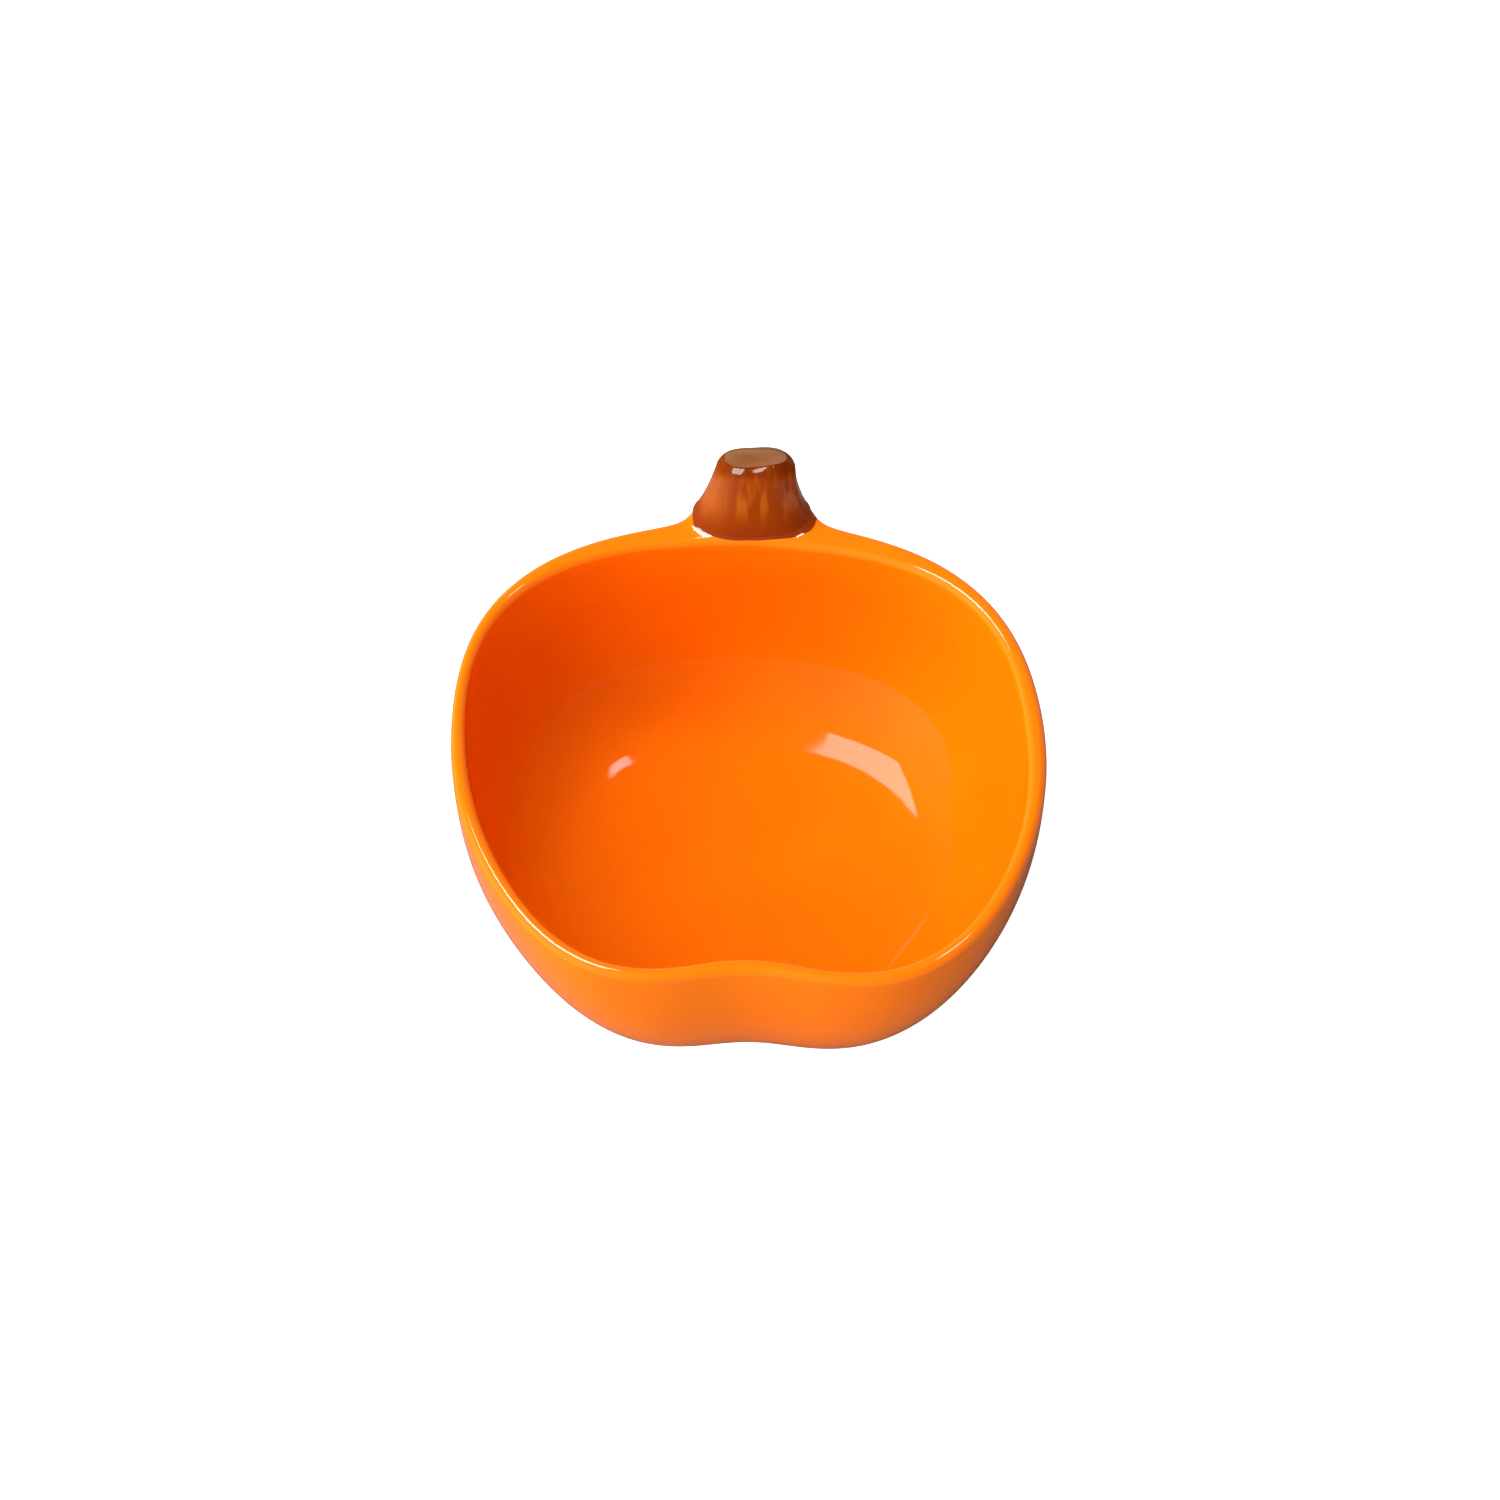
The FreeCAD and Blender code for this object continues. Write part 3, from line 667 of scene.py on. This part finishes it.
def brushed_mask(m):
    """Brown brushwork on the lip round the front of the stem: a superellipse in plan."""
    centre, half, power = (0.0011, 0.0761), (0.0160, 0.0095), 2.9
    at = m.axes()
    u, v = (m.math("POWER", m.math("DIVIDE", m.distance(at[axis], c), size), power)
            for axis, c, size in zip("XY", centre, half))
    edge = m.math("POWER", m.add(u, v), 1 / power)
    waver = m.math("SUBTRACT", m.noise(scale=170.0, detail=1.0), 0.5)
    edge = m.add(edge, m.multiply(waver, 0.05))
    above = m.ramp(at["Z"], start=0.0555, end=0.0572)
    front = m.invert(m.ramp(at["Y"], start=0.0772, end=0.0788))
    inside = m.invert(m.ramp(edge, start=0.985, end=1.012))
    return m.multiply(m.multiply(inside, above), front)


def orange_material(name, has_masks):
    """Glossy orange; has_masks for the coat that carries the lip and foot attributes."""
    m = new_material(name)
    mottle = m.ramp(m.noise(scale=38.0, detail=3.0, rough=0.55), start=0.35, end=0.7)
    colour = m.mix(m.multiply(mottle, 0.5), srgb(249, 119, 3), srgb(246, 111, 2))
    if has_masks:
        # thin glaze on the lip and at the foot line; the lip's lighter tone is partly painted
        # light on its upward-facing top
        lip = m.multiply(m.attribute("lip"), 0.9)
        wander = m.scaled(m.noise(scale=120.0), factor=0.35, offset=0.78)
        colour = m.mix(m.multiply(lip, wander, clamp=True), colour, srgb(253, 121, 3))
        colour = m.mix(m.multiply(m.attribute("foot"), 0.7), colour, srgb(250, 170, 70))
    speck = m.ramp(m.noise(scale=1500.0, detail=1.0), start=0.80, end=0.84)
    colour = m.mix(m.multiply(speck, 0.10), colour, srgb(150, 60, 10))
    if has_masks:
        # the brushwork takes the stem's base colour, with its painted reflection of the
        # orange bowl
        stem_base = m.add(0.0, 0.0)      # the brushwork is coloured as the stem at up = 0
        colour = m.mix(brushed_mask(m), colour, brown_colour(m, stem_base))
    peel, wave = m.noise(scale=260.0), m.noise(scale=45.0, detail=1.0, rough=0.4)
    normal = m.bump(peel, distance=0.000018, strength=0.6)
    normal = m.bump(wave, distance=0.00012, strength=0.5, normal=normal)
    rough = m.scaled(m.noise(scale=90.0, detail=3.0), factor=0.03, offset=0.035)
    ior = 1.25
    if has_masks:
        ior = m.scaled(m.attribute("lip"), factor=0.24, offset=ior)
    m.set("Principled BSDF", Base_Color=colour, Roughness=rough, IOR=ior, Normal=normal)
    return m.owner


def brown_material(name):
    m = new_material(name)
    colour = brown_colour(m, m.attribute("up"))
    colour = m.mix(m.multiply(m.attribute("band"), 0.55), colour, srgb(92, 22, 1))
    # the cap's own tan, made lighter as a painted reflection of the bright surround behind
    mottle = m.ramp(m.noise(scale=140.0, detail=3.0), start=0.35, end=0.7)
    cap = m.mix(mottle, srgb(130, 75, 30), srgb(142, 80, 30))
    colour = m.mix(m.attribute("cap"), colour, cap)
    normal = m.bump(m.noise(scale=160.0), distance=0.00006, strength=0.5)
    # the glaze is thin and dull along the shoulder except in two glossy pools
    x = m.axes()["X"]
    pools = [m.invert(m.ramp(m.distance(x, centre), start=half * 0.75, end=half * 1.1))
             for centre, half in ((-0.0036, 0.0027), (0.0042, 0.0036))]
    dull = m.multiply(m.invert(m.add(*pools, clamp=True)),
                      m.ramp(m.attribute("band"), start=0.0, end=0.25))
    gloss = m.math("SUBTRACT", 0.5, m.multiply(dull, 0.47))
    rise = m.ramp(m.attribute("up"), start=0.10, end=0.55)
    gloss = m.multiply(gloss, m.scaled(rise, factor=0.7, offset=0.3))
    m.set("Principled BSDF", Base_Color=colour, Roughness=0.04, IOR=1.32, Normal=normal,
          Specular_IOR_Level=gloss)
    return m.owner


def clay_material(name, tone):
    m = new_material(name)
    grain = m.noise(scale=1400.0, detail=4.0, rough=0.65)
    cloud = m.noise(scale=60.0, detail=3.0)
    darker = [int(v * 0.93) for v in tone]
    colour = m.mix(m.ramp(cloud, start=0.3, end=0.7), srgb(*tone), srgb(*darker))
    speckle = m.multiply(m.ramp(grain, start=0.62, end=0.74), 0.5)
    colour = m.mix(speckle, colour, srgb(168, 140, 112))
    m.set("Principled BSDF", Base_Color=colour, IOR=1.45,
          Roughness=m.scaled(cloud, factor=0.15, offset=0.72),
          Normal=m.bump(grain, distance=0.00012, strength=0.8))
    return m.owner


def floor_material():
    """Pale sweep, burnt out to white in the camera's view and darker in reflections."""
    m = new_material("pale_floor")
    path = m.new("ShaderNodeLightPath").outputs
    seen, mirrored = path["Is Camera Ray"], path["Is Glossy Ray"]
    tone = m.mix(mirrored, (0.52, 0.52, 0.52, 1), (0.23, 0.23, 0.23, 1))
    tone = m.mix(seen, tone, (0.86, 0.86, 0.86, 1))
    m.set("Principled BSDF", Base_Color=tone, Roughness=0.9, Specular_IOR_Level=0.1,
          Emission_Color=(1, 1, 1, 1), Emission_Strength=m.multiply(seen, 0.90))
    return m.owner


def paint(ob, material):
    ob.data.materials.clear()
    ob.data.materials.append(material)


def fit(ob, material, replaced):
    """Paint a piece and put it in place of its CAD piece."""
    paint(ob, material)
    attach(ob, "root")
    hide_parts(replaced)


orange = orange_material("orange_gloss", has_masks=True)
orange_under = orange_material("orange_gloss_under", has_masks=False)
brown = brown_material("brown_gloss")
clay = clay_material("bisque", tone=(226, 209, 186))
slip = clay_material("bisque_slip", tone=(214, 196, 172))

fit(thicken(build_bowl_glaze(), COAT), orange, "orange_glaze")
fit(thicken(build_stem_glaze(), COAT), brown, "brown_glaze")
fit(build_clay_bowl(), clay, "bowl_body")
fit(build_clay_stem(), clay, "stem")
fit(build_slip(), slip, "stem_slip_joint")
paint(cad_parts["underside_glaze"], orange_under)

# ------------------------------------------------------------------ studio (m)
TARGET = Vector((0, 0.01743, 0.030))      # point the lights and camera face
FLOOR_SIZE = 40.0
LIGHT_DISTANCE = 1.1
KEY = dict(direction=(-0.262, 0.335, 0.905), size=(0.34, 0.34), spin=32)
CAMERA_DISTANCE = 1.0
CAMERA_ELEVATION = math.radians(52)


def build_floor():
    me = bpy.data.meshes.new("floor")
    s = FLOOR_SIZE / 2
    me.from_pydata([(-s, -s, 0.0), (s, -s, 0.0), (s, s, 0.0), (-s, s, 0.0)], [],
                   [(0, 1, 2, 3)])
    ob = bpy.data.objects.new("floor", me)
    bpy.context.scene.collection.objects.link(ob)
    me.materials.append(floor_material())


def softbox(name, direction, size, radiance, spin):
    """Rectangular light of the given radiance in a direction from the bowl, turned by
    spin degrees about its beam."""
    data = bpy.data.lights.new(name, "AREA")
    data.shape = "RECTANGLE"
    data.size, data.size_y = size
    data.energy = radiance * math.pi * size[0] * size[1]
    ob = bpy.data.objects.new(name, data)
    ob.location = centre = TARGET + Vector(direction).normalized() * LIGHT_DISTANCE
    beam = (TARGET - centre).normalized()
    turn = Matrix.Rotation(math.radians(spin), 3, "Z").to_quaternion()
    ob.rotation_mode = "QUATERNION"
    ob.rotation_quaternion = beam.to_track_quat("-Z", "Y") @ turn
    bpy.context.scene.collection.objects.link(ob)
    return ob


def build_world():
    """Studio sweep: bright along the horizon, dim overhead, with a broad soft glow from
    the front left that is weaker in reflections."""
    world = bpy.data.worlds.new("studio")
    bpy.context.scene.world = world
    w = Nodes(world)
    sky = w.new("ShaderNodeTexCoord").outputs["Generated"]
    sweep = w.ramp(w.axes(sky)["Z"], start=0.05, end=0.50, low=0.95, high=0.08)
    glow_from = tuple(Vector((-0.80, -0.32, 0.58)).normalized())
    glow_power, glow_strength, mirror_loss = 4.0, 5.1, 0.85
    facing = w.new("ShaderNodeVectorMath", {0: sky, 1: glow_from}, operation="DOT_PRODUCT")
    facing = w.math("MAXIMUM", facing.outputs["Value"], 0.0)
    glow = w.multiply(w.math("POWER", facing, glow_power), glow_strength)
    mirrored = w.new("ShaderNodeLightPath").outputs["Is Glossy Ray"]
    glow = w.multiply(glow, w.invert(w.multiply(mirrored, mirror_loss)))
    w.set("Background", Color=(1, 1, 1, 1), Strength=w.add(sweep, glow))


def build_camera():
    data = bpy.data.cameras.new("camera")
    data.sensor_width = 36.0
    data.lens = 95.2008
    data.shift_y = 0.009333333
    data.clip_end = 100
    ob = bpy.data.objects.new("camera", data)
    back = Vector((0, -math.cos(CAMERA_ELEVATION), math.sin(CAMERA_ELEVATION)))
    ob.location = TARGET + CAMERA_DISTANCE * back
    ob.rotation_mode = "QUATERNION"
    ob.rotation_quaternion = (TARGET - ob.location).to_track_quat("-Z", "Y")
    bpy.context.scene.collection.objects.link(ob)
    bpy.context.scene.camera = ob


build_floor()
# the key is two lights in one place: one seen in reflections, one lighting the surfaces
softbox("key_sheen", radiance=18.0, **KEY).visible_diffuse = False
softbox("key", radiance=10.5, **KEY).visible_glossy = False
softbox("fill", direction=(0.190, 0.398, 0.898), size=(0.11, 0.065), radiance=22.0, spin=-30)
build_world()
build_camera()
bpy.context.scene.view_settings.view_transform = "Standard"
bpy.context.scene.view_settings.look = "None"

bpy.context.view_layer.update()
